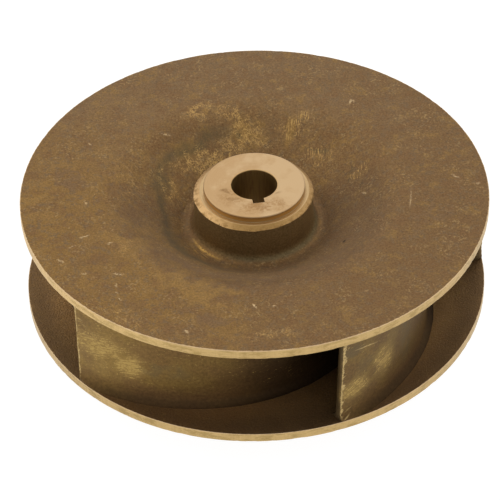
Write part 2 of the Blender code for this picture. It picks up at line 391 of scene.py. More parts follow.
class Wire:
    """One value or vector in a graph. Python's operators on it add Math nodes, and | is the larger of two."""

    def __init__(self, graph, socket):
        self.graph = graph
        self.socket = socket

    __add__ = math_method("ADD")
    __radd__ = math_method("ADD", swapped=True)
    __sub__ = math_method("SUBTRACT")
    __rsub__ = math_method("SUBTRACT", swapped=True)
    __mul__ = math_method("MULTIPLY")
    __truediv__ = math_method("DIVIDE")
    __or__ = math_method("MAXIMUM")
    __abs__ = math_method("ABSOLUTE")

    def rise(self, low, high, top=1.0):
        """0 below low, top above high and a smooth step between them. It falls where low is above high."""
        sockets = {"Value": self, "From Min": low, "From Max": high, "To Max": top}
        settings = {"interpolation_type": "SMOOTHSTEP", "clamp": False}
        return self.graph.node("ShaderNodeMapRange", settings, sockets)

    def near(self, centre, width):
        """1 at centre, falling smoothly to 0 at a distance of width."""
        return abs(self - centre).rise(width, 0.0)


# %% Graphs
class Graph:
    """A node tree and the one method that adds nodes to it."""

    def __init__(self, tree):
        self.tree = tree

    def node(self, kind, settings, sockets, output=0):
        """Adds a node, feeds its sockets values or wires and returns an output's wire."""
        made = self.tree.nodes.new(kind)
        for key, value in settings.items():
            setattr(made, key, value)
        for key, value in sockets.items():
            self.feed(made.inputs[key], value)
        return Wire(self, made.outputs[output])

    def feed(self, socket, value):
        if isinstance(value, Wire):
            self.tree.links.new(value.socket, socket)
        elif socket.type == "RGBA":
            socket.default_value = (*value, 1.0)
        else:
            socket.default_value = value

    def combine(self, x, y, z):
        return self.node("ShaderNodeCombineXYZ", {}, {0: x, 1: y, 2: z})

    def parts(self, vector):
        split = self.node("ShaderNodeSeparateXYZ", {}, {0: vector}).socket.node
        return [Wire(self, output) for output in split.outputs]

    def vector(self, operation, *values, output=0):
        return self.node("ShaderNodeVectorMath", {"operation": operation}, dict(enumerate(values)), output)

    def scaled(self, vector, amount):
        return self.node("ShaderNodeVectorMath", {"operation": "SCALE"}, {0: vector, "Scale": amount})

    def mix(self, factor, first, second):
        """The colour first where factor is 0, second where it is 1."""
        return self.node("ShaderNodeMix", {"data_type": "RGBA"}, {0: factor, 6: first, 7: second}, 2)


# %% Finishes
LENGTH_OUTPUT = 1
COLOUR_OUTPUT = 1
METALLIC = 0.93


class Finish(Graph):
    """A Principled material whose masks are written in millimetres of the part's own frame.

    Its colour is built up in coats, each laid over the last where a mask is 1.
    """

    def __init__(self, name, **constants):
        self.material = bpy.data.materials.new(name)
        self.material.use_nodes = True
        super().__init__(self.material.node_tree)
        self.shader = self.tree.nodes["Principled BSDF"]
        self.colour = None
        self.set(**constants)
        self.place = self.scaled(self.node("ShaderNodeTexCoord", {}, {}, "Object"), 1 / MM)
        self.x, self.y, self.z = self.parts(self.place)
        self.flat = self.combine(self.x, self.y, 0.0)
        self.radius = self.vector("LENGTH", self.flat, output=LENGTH_OUTPUT)
        self.bearing = self.vector("NORMALIZE", self.flat)

    def set(self, **values):
        for socket, value in values.items():
            self.feed(self.shader.inputs[socket.replace("_", " ")], value)

    def coat(self, mask, colour):
        self.colour = self.mix(mask, self.colour, colour)

    def tint(self, mask, tint):
        self.coat(mask, self.vector("MULTIPLY", self.colour, tint))

    def clouds(self, size, vector=None, detail=2.0, roughness=0.5, distortion=0.0, output=0):
        """Noise from 0 to 1 whose blotches are about size wide."""
        sockets = {"Vector": vector or self.place, "Scale": 1 / size, "Detail": detail}
        sockets |= {"Roughness": roughness, "Distortion": distortion}
        return self.node("ShaderNodeTexNoise", {}, sockets, output)

    def fan(self, spread, climb):
        """A vector that turns with the bearing, on a circle of radius spread, and climbs by climb."""
        turned = self.scaled(self.bearing, spread)
        return self.vector("ADD", turned, self.combine(0.0, 0.0, climb))

    def lathe_lines(self, across, blobs=2.0):
        """Noise that changes quickly across a turned face and slowly round the axis."""
        return self.clouds(1.0, self.fan(blobs, (self.radius + self.z) / across), 2.0, 0.7)

    def spokes(self, width, length, radius):
        """Noise drawn out towards the axis: strokes of that width at that radius, and of that length."""
        return self.clouds(1.0, self.fan(radius / width, self.radius / length), 2.0, 0.6)

    def wobbled(self, spot, size, amount):
        """The spot moved aside by noise of that size, so that masks drawn on it get natural outlines."""
        colour = self.clouds(size, spot, 3.0, output=COLOUR_OUTPUT)
        aside = self.vector("SUBTRACT", colour, (0.5, 0.5, 0.5))
        return self.vector("ADD", spot, self.scaled(aside, amount))

    def within(self, spot, centre, turn, halves):
        """The spot in an oval's own frame, whose unit along each axis is half the oval's length there."""
        sockets = {"Vector": spot, "Location": (*centre, 0), "Rotation": (0, 0, radians(turn))}
        return self.node("ShaderNodeMapping", {"vector_type": "TEXTURE"}, sockets | {"Scale": (*halves, 1)})

    def drawn_out(self, spot, turn, length, width):
        """Noise drawn out along a direction given in degrees, for strokes of about that length and width."""
        return self.clouds(1.0, self.within(spot, (0, 0), turn, (length, width)), 2.0, 0.6)

    def scrapes(self, field, where, width=0.034):
        """Thin lines where a noise field passes its middle. They are as wide as the mask is strong."""
        return (where * width - abs(field - 0.5)).rise(0.0, 0.02)

    def oval(self, spot, centre, halves, turn=0.0, strength=1.0, edge=0.2):
        """Strength inside an oval with those half lengths, turned by degrees, fading to 0 at its rim."""
        inside = self.within(spot, centre, turn, halves)
        return self.vector("LENGTH", inside, output=LENGTH_OUTPUT).rise(1.0, edge, strength)

    def ovals(self, spot, places):
        """The largest of several ovals, each (u, v, half length, half width, turn, strength)."""
        total = None
        for u, v, half_length, half_width, turn, strength in places:
            mask = self.oval(spot, (u, v), (half_length, half_width), turn, strength)
            total = mask if total is None else total | mask
        return total

    def patches(self, spot, places, ragged, fray=1.8, blur=0.11):
        """Ovals whose borders a noise field frays by that much, firm where the blur is small."""
        return (self.ovals(spot, places) + (ragged - 0.5) * fray).rise(0.51 - blur, 0.51 + blur)

    def strokes(self, spot, width, lines):
        """Short marks from (u, v) to (u, v): each an oval along the line between the two points."""
        places = []
        for u0, v0, u1, v1, strength in lines:
            half = np.hypot(u1 - u0, v1 - v0) / 2 + width
            turn = degrees(np.arctan2(v1 - v0, u1 - u0))
            places.append(((u0 + u1) / 2, (v0 + v1) / 2, half, width, turn, strength))
        return self.ovals(spot, places)

    def done(self, roughness, height, depth, **values):
        """The material with its coats, and a bump whose height from 0 to 1 stands for depth millimetres."""
        bump = self.node("ShaderNodeBump", {}, {"Height": height, "Distance": depth * MM})
        self.set(Base_Color=self.colour, Roughness=roughness, Normal=bump, **values)
        print(f"{self.material.name}: {len(self.tree.nodes)} nodes")
        return self.material


# %% [markdown]
# ## The browned skin
# Bronze from the mould goes brown in water and air. The brown is not one colour: it clouds from olive through
# yellow-brown to violet-brown, and it is speckled at the scale of the moulding sand. Where the part was
# handled, filed or scraped, gold shows through in specks and strokes.

# %% Colours of the casting
OLIVE_BROWN = (0.25, 0.14, 0.043)
PLAIN_BROWN = (0.205, 0.116, 0.047)
VIOLET_BROWN = (0.203, 0.121, 0.058)
BACK_BROWN = (0.222, 0.133, 0.06)
RED_BROWN = (0.2, 0.108, 0.044)
GOLD_BROWN = (0.272, 0.157, 0.052)
GREY_BROWN = (0.19, 0.122, 0.062)
DEEP_BROWN = (0.11, 0.062, 0.026)
STAIN_GREEN = (0.118, 0.085, 0.042)
FILLET_PAINTED_SHADE = (0.7, 0.77, 0.84)
WALL_PAINTED_LIGHT_BROWN = (0.335, 0.23, 0.103)
RUBBED_GOLD = (0.305, 0.176, 0.053)
FLECK_TAN = (0.4, 0.262, 0.11)
BRIGHT_SPECK = (0.54, 0.335, 0.115)
SCRATCH_BRIGHT = (0.66, 0.47, 0.25)
FOOT_GOLD_AND_HIGHLIGHT = (0.62, 0.37, 0.095)
SHADE_AND_DIRT_BROWN = (0.045, 0.025, 0.012)
PIT_BLACK = (0.03, 0.016, 0.006)
TURNED_BRASS = (0.58, 0.4, 0.168)
TURNED_DULL = (0.44, 0.298, 0.118)
TURNED_OLIVE = (0.36, 0.24, 0.082)
EDGE_PINK = (0.7, 0.5, 0.29)
RIM = RIM_RADIUS / MM


def browned(finish):
    """Browned skin: olive to the left, paler at the back, with ragged patches of red, grey and gold."""
    cloud = finish.clouds(26, detail=5.0, roughness=0.6) - 0.5
    left = (finish.x * (-1 / 200) + cloud * 2.0).rise(0.0, 0.6)
    back = (finish.y * (1 / 160) + cloud * 1.5).rise(0.1, 0.8)
    finish.colour = finish.mix(back, finish.mix(left, PLAIN_BROWN, OLIVE_BROWN), BACK_BROWN)
    tint = finish.clouds(9, detail=6.0, roughness=0.75)
    finish.coat(tint.rise(0.49, 0.43, 0.7), RED_BROWN)
    finish.coat(tint.rise(0.54, 0.60, 0.7), GOLD_BROWN)
    grey = finish.clouds(3.2, detail=5.0, roughness=0.8)
    finish.coat(grey.rise(0.52, 0.60, 0.8), GREY_BROWN)
    grain = finish.clouds(1.1, detail=2.0, roughness=0.8)
    finish.colour = finish.scaled(finish.colour, 0.25 + grain * 1.5)
    clusters = finish.clouds(15, detail=4.0, roughness=0.7).rise(0.46, 0.62)
    flecks = finish.clouds(1.0, finish.scaled(finish.place, 0.8), 1.0).rise(0.56, 0.68, 0.6)
    finish.coat(flecks * (clusters * 0.9 + 0.1), FLECK_TAN)
    return grain


def turned_rim(finish, top_z, bottom_z, painted_left_shine):
    """Adds the turned rim: ragged borders with the skin, fine lathe lines and a paler broken edge.

    The paler top edge is worn metal with a painted highlight on it. Painted shade dulls the lower edge, and a
    painted highlight brightens the rim towards the left.
    """
    fray = (finish.clouds(1.8, detail=2.0, roughness=0.6) - 0.5) * 0.9
    rim = (finish.radius + fray).rise(RIM - 0.50, RIM - 0.25)
    lines = finish.lathe_lines(0.30)
    streaks = finish.spokes(1.4, 80, RIM)
    brass = finish.mix((lines * 0.8 + streaks * 0.4).rise(0.44, 0.80, 0.8), TURNED_BRASS, TURNED_DULL)
    tarnish = finish.clouds(1.0, finish.fan(RIM / 9, finish.z / 3), 5.0, 0.75)
    brass = finish.mix(tarnish.rise(0.47, 0.60, 0.75), brass, TURNED_OLIVE)
    # Painted highlight: the rim's colour is brightened towards the left.
    brass = finish.scaled(brass, finish.x.rise(-30, RIM * -0.9, painted_left_shine) + 1.0)
    # The paler top edge is worn metal with a painted highlight on it.
    edge = (finish.z + fray * 0.6).rise(top_z - 0.60, top_z - 0.20)
    brass = finish.mix(edge * 0.75, brass, EDGE_PINK)
    # Painted shade: the rim is dulled along its lower edge.
    painted_low_edge_shade = (finish.z - fray * 0.4).rise(bottom_z + 0.40, bottom_z + 0.10)
    brass = finish.mix(painted_low_edge_shade * 0.5, brass, TURNED_DULL)
    finish.coat(rim, brass)
    return rim, lines


# %% Marks on the back face
SMOOTH_GOLD = [
    (31, 58, 13, 14, 0, 0.9), (6, 63, 17, 15, 0, 0.8), (-34, 52, 22, 8, 25, 0.7),
    (-43, -74, 42, 20, -38, 1.3), (-74, -28, 38, 17, -60, 1.1), (-118, 10, 16, 36, 0, 0.8),
    (-100, -58, 16, 10, -60, 0.7),
]
VIOLET_PATCHES = [
    (-40, -101, 27, 9, -22, 1.1), (-46, -46, 28, 11, -48, 1.0), (2, -66, 30, 13, 5, 1.0),
    (14, -92, 40, 16, 0, 0.8), (-101, 28, 15, 20, 20, 0.9), (92, -40, 28, 18, 40, 0.8),
    (20, 105, 38, 14, 0, 0.7),
]
GREEN_STAINS = [
    (44, 42, 15, 8, -45, 0.9), (60, 12, 7, 15, 0, 0.8), (16, -46, 26, 8, 18, 1.0),
    (4, 60, 10, 6, 0, 0.8), (-56, -94, 14, 6, -20, 0.8),
]
STAIN_RING_RADIUS = 50.0
STAIN_RING_GROWTH = 13.0
SPECKLED_PLACES = [
    (-24, 50, 24, 12, 25, 1.0), (6, 66, 19, 19, 70, 0.9), (-16, 77, 13, 6, 0, 0.7),
    (33, 58, 15, 15, 0, 0.5), (46, 34, 17, 13, -45, 0.6), (-67, 24, 12, 32, 5, 0.45),
    (-75, -35, 14, 10, 0, 0.4), (-76, -97, 26, 9, -35, 0.55), (0, -118, 34, 8, 0, 0.5),
    (68, -52, 40, 24, 40, 0.28), (60, 0, 14, 20, 0, 0.25),
]
COMBED_PLACES = [
    (32, 60, 18, 17, 0, 1.2), (44, 38, 22, 10, -50, 1.1), (62, 17, 10, 9, 20, 1.2),
]
NETTED_PLACES = [
    (4, 68, 27, 12, -52, 1.2), (2, 57, 26, 9, 0, 1.2), (-18, 77, 18, 10, 0, 1.2),
    (-20, 49, 36, 12, 12, 1.3), (-44, 30, 10, 24, 8, 0.9), (-68, 26, 12, 28, 5, 0.7),
    (-74, -36, 18, 14, 0, 0.7), (-86, -90, 26, 9, -45, 0.7), (-6, -117, 40, 9, 0, 0.6),
]
NICKS = [
    (-100, -23, -95, -22, 1.0), (-86, -31, -83, -30, 0.9), (-107, -30, -103, -29, 0.5),
    (-114, -38, -110, -42, 0.6), (-86, -55, -80, -57, 0.9), (-102, -52, -100, -52, 0.7),
    (-94, 8, -93, 4, 0.5), (-86, 59, -85, 56, 0.5), (-44, 62, -38, 61, 0.6), (67, 67, 69, 71, 0.7),
    (69, 71, 70, 67, 0.6), (61, -1, 63, -3, 0.8), (110, -7, 114, -11, 0.8),
    (122, -17, 124, -17, 0.6), (-16, -93, -15, -96, 1.0), (-6, -96, -5, -96, 0.6),
    (-54, -106, -53, -108, 0.7), (-85, -63, -85, -66, 0.6), (-86, -70, -85, -71, 0.6),
    (-85, -75, -84, -77, 0.8),
]
NICK_WIDTH = 1.0
SCRATCH_ARC_RADIUS = 86.8
SCRATCH_ARC_CENTRE = (84, -24)
PIT = (43.5, -37.5)
HUB_FOOT_RUB_AND_HIGHLIGHT = (-32, -20)
# How strongly the painted highlight brightens the back rim towards the left.
BACK_PAINTED_LEFT_SHINE = 0.25


# %% Finish of the back shroud
def above_mid_plane(finish):
    """1 on the drive side and 0 on the water side, which lie on either side of the shroud's middle."""
    inside = (MOAT_RADIUS / MM - finish.radius) | 0.0
    middle = (BACK_OUTER_Z - RIM_THICKNESS / 2) / MM - inside * tan(MOAT_SLOPE)
    return (finish.z - middle).rise(-0.5, 0.5)


def back_casting_finish():
    """Browned skin with the marks that handling has left on the drive side, and a bright turned rim."""
    finish = Finish("cast_bronze_back")
    spot, r = finish.flat, finish.radius
    grain = browned(finish)
    drive_side = above_mid_plane(finish)
    broken = finish.clouds(1.0, detail=1.0).rise(0.34, 0.48)
    rough_spot = finish.wobbled(spot, 2.2, 3.0)
    arc = r.near(SCRATCH_ARC_RADIUS, 0.8) * finish.oval(spot, SCRATCH_ARC_CENTRE, (6, 15), 10, 0.45)
    marks = (finish.strokes(rough_spot, NICK_WIDTH, NICKS) | arc) * broken * drive_side

    loose = finish.wobbled(spot, 16, 12)
    frayed = finish.clouds(6, detail=6.0, roughness=0.75)
    cloud = finish.clouds(20, detail=2.0)
    ragged = frayed.rise(0.42, 0.56)
    shaded = 0.25 + grain * 1.5
    finish.coat(finish.patches(loose, VIOLET_PATCHES, frayed) * 0.6, finish.scaled(VIOLET_BROWN, shaded))
    golden = finish.ovals(finish.wobbled(spot, 22, 9), SMOOTH_GOLD).rise(0.10, 0.80)
    finish.coat(golden * (ragged * 0.25 + 0.42), finish.scaled(RUBBED_GOLD, shaded))
    from_ring = r + (cloud - 0.5) * 14 - finish.y.rise(0.0, 50.0, STAIN_RING_GROWTH)
    stain_ring = from_ring.near(STAIN_RING_RADIUS, 6.0) * finish.x.rise(6.0, -20.0)
    stain_ring = stain_ring * finish.y.rise(-54.0, -30.0)
    stains = stain_ring * (ragged * 0.3 + 0.45) | finish.patches(loose, GREEN_STAINS, frayed) * 0.5
    finish.coat(stains, STAIN_GREEN)
    above_foot = finish.z - MOAT_FOOT_Z / MM
    # Painted light: the hub's cast wall gets a paler, greyer brown than the rest of the casting.
    lightened_wall = r.rise(36.0, 33.6) * above_foot.rise(1.0, 7.0) * drive_side
    finish.coat(lightened_wall, finish.scaled(WALL_PAINTED_LIGHT_BROWN, shaded))
    moat = r.rise(36.0, 40.0) * r.rise(80.0, 62.0) * finish.y.rise(30.0, -10.0) * drive_side
    # Painted shade: the fillet at the hub's foot is darkened and greyed on its right.
    finish.tint(r.near(34.4, 2.2) * finish.x.rise(-30.0, -10.0) * drive_side, FILLET_PAINTED_SHADE)

    specks = finish.clouds(1.15, detail=3.0, roughness=0.8)
    speckled = finish.ovals(loose, SPECKLED_PLACES)
    finish.coat(speckled * specks.rise(0.50, 0.38, 0.5), DEEP_BROWN)
    near_by = finish.wobbled(spot, 9, 6)
    netted = finish.ovals(near_by, NETTED_PLACES) * (0.75 + ragged * 0.35)
    scraped = finish.scrapes(finish.drawn_out(spot, 112, 5, 1.5), netted)
    scraped = scraped | finish.scrapes(finish.drawn_out(spot, 20, 4, 1.3), netted)
    combed = finish.ovals(near_by, COMBED_PLACES) * (0.65 + ragged * 0.35)
    scraped = (scraped | finish.scrapes(finish.drawn_out(spot, 78, 12, 1.5), combed)) * (broken * 0.6 + 0.4)
    gold = speckled * specks.rise(0.54, 0.61) * (ragged * 0.5 + 0.4) | scraped
    finish.coat(gold * 0.8 * drive_side, BRIGHT_SPECK)

    finish.coat(marks, SCRATCH_BRIGHT)
    # Rubbed gold with a painted highlight along the fillet at the front left of the hub's foot.
    by_foot = finish.oval(near_by, HUB_FOOT_RUB_AND_HIGHLIGHT, (18, 9), -56) * drive_side
    rubbed = r.near(40.0, 6.0) * finish.drawn_out(spot, -56, 9, 1.1).rise(0.40, 0.58, 0.5)
    foot_rub_and_highlight = (r.near(37.2, 1.3) * broken | rubbed) * by_foot
    finish.coat(foot_rub_and_highlight, FOOT_GOLD_AND_HIGHLIGHT)
    pit = finish.oval(spot, PIT, (2.2, 1.1), 60) * drive_side
    finish.coat(pit * 0.8, PIT_BLACK)

    # Painted shade on the back shroud's water side, between the shrouds.
    in_passage = (1 - drive_side) * r.rise(RIM, RIM - 0.5)
    finish.coat(in_passage * 0.55, SHADE_AND_DIRT_BROWN)
    rim, lines = turned_rim(finish, BACK_OUTER_Z / MM, BACK_INNER_Z / MM, BACK_PAINTED_LEFT_SHINE)
    roughness = 0.50 - rim * 0.12 - marks * 0.15 + grain * 0.08 + moat * 0.25
    metallic = METALLIC - moat * 0.45
    return finish.done(roughness, grain + (marks + pit) * -0.8 + lines * rim * 0.3, 0.30, Metallic=metallic)


back_finish = back_casting_finish()

# %% [markdown]
# ## The back casting
# This is the face that the photograph shows best. Its closed section starts under the hub's turned edge, runs
# down the hub's wall, out across the dish to the rim, down the turned rim and back in along the water side to
# the hub's nose. In the photograph the hub's cast wall stands a little off the axis, so it and its foot are
# shifted to one side. The cast faces are moved along their normals by fractions of a millimetre.

# %% Back casting
TURN_ROWS = 900
CAST_WAVES = [(32 * MM, 0.12 * MM, 1), (11 * MM, 0.06 * MM, 2), (4.5 * MM, 0.035 * MM, 3)]
CAST_FADE = 4.0 * MM
LEAST_NORMAL = 1e-12
TURNED_BAND = 2.0 * MM
HUB_SHIFT = 0.7 * MM
HUB_SHIFT_AZIMUTH = radians(186)
HUB_SHIFT_FULL = 1.15 * HUB_RADIUS
HUB_SHIFT_END = 62 * MM
HUB_EDGE_REACH = 6 * MM
HUB_WAVES = [(6 * MM, 0.20, 4), (1.8 * MM, 0.06, 5)]
RIM_KNOCKS = [(3.1 * MM, 1.0, 6), (1.3 * MM, 0.6, 7)]
RIM_WEAR = 0.14 * MM
WEAR_REACH = 0.8 * MM
CHAMFER_STEEPNESS = HUB_CHAMFER_DROP / HUB_CHAMFER_WIDTH


def ease(share):
    """0 below 0, 1 above 1 and 3t^2 - 2t^3 between them."""
    t = np.clip(share, 0, 1)
    return t * t * (3 - 2 * t)


def grid_normals(points):
    """Unit normals of a grid that closes both ways, from its central differences."""
    along = np.roll(points, -1, 0) - np.roll(points, 1, 0)
    across = np.roll(points, -1, 1) - np.roll(points, 1, 1)
    normal = np.cross(along, across)
    return normal / np.maximum(np.linalg.norm(normal, axis=-1, keepdims=True), LEAST_NORMAL)


def roughened(points, section, turned_spots):
    """Points moved along their normals by three sizes of noise, but not near the turned spots (r, z)."""
    amount = np.ones(len(section))
    for spot in turned_spots:
        amount *= ease((np.hypot(*(section - spot).T) - SUPPORT) / CAST_FADE)
    amount *= ease((RIM_RADIUS - TURNED_BAND - section[:, 0]) / CAST_FADE)
    return points + grid_normals(points) * (layered(points, CAST_WAVES) * amount)[..., None]


def worn_edges(points, section, angles, edges):
    """The rim's two edges, each (height, up or down), drawn in where noise says that they were knocked."""
    wear = ring_layers(angles, RIM_RADIUS, RIM_KNOCKS)
    for height, way in edges:
        closeness = np.clip(1 - np.hypot(*(section - (RIM_RADIUS, height)).T) / WEAR_REACH, 0, 1)
        outward = np.stack([np.cos(angles), np.sin(angles), np.full_like(angles, way)], -1)
        pull = np.clip(wear, 0, 1)[:, None] * closeness * RIM_WEAR
        points = points - pull[..., None] * outward[:, None, :]
    return points


def hub_edge_shift(angles):
    """How far the hub's wall stands outside its drawn radius: a shift to one side plus small waves."""
    return HUB_SHIFT * np.cos(angles - HUB_SHIFT_AZIMUTH) + ring_layers(angles, HUB_RADIUS, HUB_WAVES) * MM


def add_back_casting():
    section = section_line([*BACK_FACE, *BACK_WATER_SIDE])
    angles = angles_round(TURN_ROWS)
    r, z = section.T
    drive_side = np.arange(len(section)) < np.argmax(r)
    near_hub = drive_side * ease((HUB_SHIFT_END - r) / (HUB_SHIFT_END - HUB_SHIFT_FULL))
    on_wall = drive_side * (r < HUB_RADIUS + SUPPORT)
    below_edge = on_wall * np.clip(1 - (HUB_EDGE_Z - z) / HUB_EDGE_REACH, 0, 1)
    shift = hub_edge_shift(angles)[:, None]
    moved = np.stack([r + shift * near_hub, z - shift * below_edge * CHAMFER_STEEPNESS], -1)
    points = turn_about_axis(moved, angles)
    points = roughened(points, section, [(HUB_RADIUS, HUB_EDGE_Z), (NOSE_RADIUS, NOSE_Z)])
    points = worn_edges(points, section, angles, [(BACK_OUTER_Z, 1), (BACK_INNER_Z, -1)])
    return add_mesh("back_casting", points, back_finish)


back_casting = add_back_casting()
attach(back_casting, "root")
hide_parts("dished_web", "back_disc")

# %% [markdown]
# ## The hub
# The hub's face is turned in two steps, with a chamfer below them, and its bore has a keyway. Seen from the
# axis every point of bore and keyway is in sight, so their wall is a single distance for each angle, and the
# hub is still one turned grid.

# %% Hub finish
FACE_TAN = (0.5, 0.315, 0.148)
FACE_PALE = (0.575, 0.392, 0.208)
FACE_SMUDGE = (0.25, 0.135, 0.05)
FACE_STAIN = (0.355, 0.195, 0.074)
LAND_GREY = (0.49, 0.33, 0.16)
LAND_TAN = (0.66, 0.46, 0.23)
CHAMFER_ORANGE = (0.385, 0.225, 0.076)
CHAMFER_HIGHLIGHT_PALE = (0.66, 0.415, 0.185)
CHAMFER_WORN = (0.29, 0.16, 0.052)
STEP_GOLD = (0.56, 0.345, 0.125)
CORNER_PAINTED_SHADE = (0.12, 0.07, 0.028)
BORE_OLIVE = (0.3, 0.185, 0.05)
BORE_BROWN = (0.21, 0.12, 0.036)
FACE = HUB_FACE_RADIUS / MM
FACE_TOP = HUB_FACE_Z / MM
LAND = (HUB_RADIUS - HUB_CHAMFER_WIDTH) / MM
KEY_REACH = (BORE_RADIUS + KEY_DEPTH) / MM
SMUDGES = [
    (-19.0, -1.5, -15.5, -2.0, 1.0), (-17.0, -3.0, -14.0, -5.5, 0.9),
    (-17.5, -9.5, -9.0, -11.5, 0.6), (-2.0, -20.0, 3.0, -20.5, 0.5), (13.0, -9.0, 10.0, -10.0, 0.5),
]
MOTTLED_PLACES = [(2, -19, 21, 9, 0, 1.0), (-14, -9, 11, 11, 0, 0.9)]


def hub_finish():
    """Bright turned faces in steps: pale face, dark step, greyish land, orange chamfer, olive bore.

    Painted shade lies in the land's inner corner, and painted highlights on the chamfer's sides and the
    bore's lip.
    """
    finish = Finish("hub_bronze", Metallic=METALLIC)
    spot, z, r = finish.flat, finish.z, finish.radius
    lines = finish.lathe_lines(0.30)
    blush = finish.clouds(9, detail=3.0, roughness=0.6)
    finish.colour = finish.mix((blush + finish.x / 120).rise(0.35, 0.65), FACE_TAN, FACE_PALE)
    finish.coat(lines.rise(0.50, 0.70, 0.4), FACE_PALE)
    mottle = finish.clouds(3.2, detail=5.0, roughness=0.75, distortion=0.6).rise(0.44, 0.60)
    loose = finish.wobbled(spot, 3, 3)
    stained = finish.ovals(loose, MOTTLED_PLACES)
    finish.coat(stained * (mottle * 0.8 + 0.25), FACE_STAIN)
    finish.coat(finish.strokes(loose, 1.5, SMUDGES) * (mottle * 0.3 + 0.7), FACE_SMUDGE)

    outside = r.rise(FACE - 0.5, FACE - 0.3)
    finish.coat(outside * z.rise(FACE_TOP - 0.6, FACE_TOP - 1.1), STEP_GOLD)
    grooves = finish.lathe_lines(0.5).rise(0.40, 0.62, 0.6)
    land = outside * z.rise(HUB_LAND_Z / MM + 0.8, HUB_LAND_Z / MM + 0.1)
    finish.coat(land, finish.mix(grooves, LAND_GREY, LAND_TAN))
    # Painted shade in the corner where the land meets the step.
    finish.coat(land * r.rise(FACE + 0.5, FACE + 0.15, 0.35), CORNER_PAINTED_SHADE)
    chamfer = r.rise(LAND - 0.05, LAND + 0.30)
    # Painted highlight: the chamfer is paler on its left and, a little, on its right.
    painted_bright_sides = finish.x.rise(-10, -34) | finish.x.rise(4, 20, 0.25)
    ramp = finish.mix(painted_bright_sides, CHAMFER_ORANGE, CHAMFER_HIGHLIGHT_PALE)
    worn = finish.clouds(2.4, detail=3.0, roughness=0.65).rise(0.42, 0.64)
    low = z.rise(HUB_EDGE_Z / MM + 1.5, HUB_EDGE_Z / MM - 0.2)
    finish.coat(chamfer, finish.mix(worn * (low * 0.7 + 0.2), ramp, CHAMFER_WORN))
    specks = finish.clouds(1.3, detail=2.0).rise(0.63, 0.72)
    finish.coat(chamfer * specks * (low * 0.7 + 0.1), SHADE_AND_DIRT_BROWN)

    below_face = z.rise(FACE_TOP - 0.15, FACE_TOP - 0.6) * z.rise(NOSE_Z / MM + 0.1, NOSE_Z / MM + 0.5)
    in_bore = r.rise(KEY_REACH + 0.5, KEY_REACH + 0.2) * below_face
    upright = finish.clouds(1.0, finish.vector("MULTIPLY", finish.place, (0.9, 0.9, 0.08)), 2.0, 0.6)
    finish.coat(in_bore * 0.9, finish.mix(upright.rise(0.35, 0.7), BORE_OLIVE, BORE_BROWN))
    # Painted highlight: a pale ring round the bore's edge.
    lip_highlight = r.near(BORE_RADIUS / MM + 0.3, 0.6) * z.rise(FACE_TOP - 1.2, FACE_TOP - 0.2)
    finish.coat(lip_highlight * 0.6, STEP_GOLD)

    roughness = 0.38 + worn * chamfer * 0.15 + in_bore * 0.12
    return finish.done(roughness, lines * 0.5 + worn * chamfer * 0.8, 0.06)


turned_hub_finish = hub_finish()

# %% Hub
KEY_FADE = 6.0 * MM
CLOSE_TURN = radians(0.12)
SLOT_STEPS = 6
LEAST_SINE = 1e-6


def bore_wall(angles):
    """Distance from the axis to the bore's wall: its radius, or the nearer of the keyway's side and floor.

    At an angle t from the keyway's centre line, a side wall is half the width over sin t away. The floor is
    its distance over cos t away.
    """
    t = np.abs((angles - KEY_AZIMUTH + pi) % (2 * pi) - pi)
    side = KEY_WIDTH / 2 / np.maximum(np.sin(t), LEAST_SINE)
    floor = (BORE_RADIUS + KEY_DEPTH) / np.maximum(np.cos(t), LEAST_SINE)
    slot = np.where(t < pi / 2, np.minimum(side, floor), 0)
    return np.maximum(BORE_RADIUS, slot)


def hub_angles():
    """The casting's angles, with close ones at the keyway's four corners to keep them sharp."""
    mouth = np.arcsin(KEY_WIDTH / 2 / BORE_RADIUS)
    foot = np.arctan(KEY_WIDTH / 2 / (BORE_RADIUS + KEY_DEPTH))
    corners = np.array([mouth, foot])[:, None] + np.array([-CLOSE_TURN, 0, CLOSE_TURN])
    half = np.concatenate([corners.ravel(), np.linspace(foot, mouth, SLOT_STEPS)[1:-1]])
    extra = (KEY_AZIMUTH + np.concatenate([half, -half])) % (2 * pi)
    return np.unique(np.concatenate([angles_round(TURN_ROWS), extra]))


def add_hub():
    section = section_line([
        (BORE_RADIUS, NOSE_Z, EDGE_BREAK, COARSE),
        (BORE_RADIUS, HUB_FACE_Z, 2 * EDGE_BREAK, FINE),
        (HUB_FACE_RADIUS, HUB_FACE_Z, 3 * EDGE_BREAK, CLOSE),
        (HUB_FACE_RADIUS, HUB_LAND_Z, EDGE_BREAK, CLOSE),
        (HUB_RADIUS - HUB_CHAMFER_WIDTH, HUB_LAND_Z, EDGE_BREAK, CLOSE),
        (HUB_RADIUS, HUB_EDGE_Z, 0, UNSEEN),
        (NOSE_RADIUS, NOSE_Z, 0, FINE),
    ])
    angles = hub_angles()
    r, z = section.T
    reach = bore_wall(angles)[:, None] - BORE_RADIUS
    fade = np.clip(1 - (r - BORE_RADIUS - 2 * EDGE_BREAK) / KEY_FADE, 0, 1)
    at_edge = np.hypot(r - HUB_RADIUS, z - HUB_EDGE_Z) < SUPPORT / 2
    shift = hub_edge_shift(angles)[:, None] * at_edge
    sections = np.stack([r + reach * fade + shift, z - shift * CHAMFER_STEEPNESS], -1)
    points = turn_about_axis(sections, angles)
    return add_mesh("hub", points, turned_hub_finish)


hub = add_hub()
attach(hub, "root")
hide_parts("hub_boss")

# %% [markdown]
# ## The front casting and its collar
# The front shroud mirrors the back one, but towards the middle it bends down into the collar that runs in a
# pump's wear ring. Only its rim and part of its inner face show in the photograph. The collar, turned all
# over, is what such an impeller has.


# %% Front finishes
PASSAGE_PAINTED_LIGHT = (2.05, 2.05, 1.9)
PASSAGE_BROWN = (0.21, 0.124, 0.055)


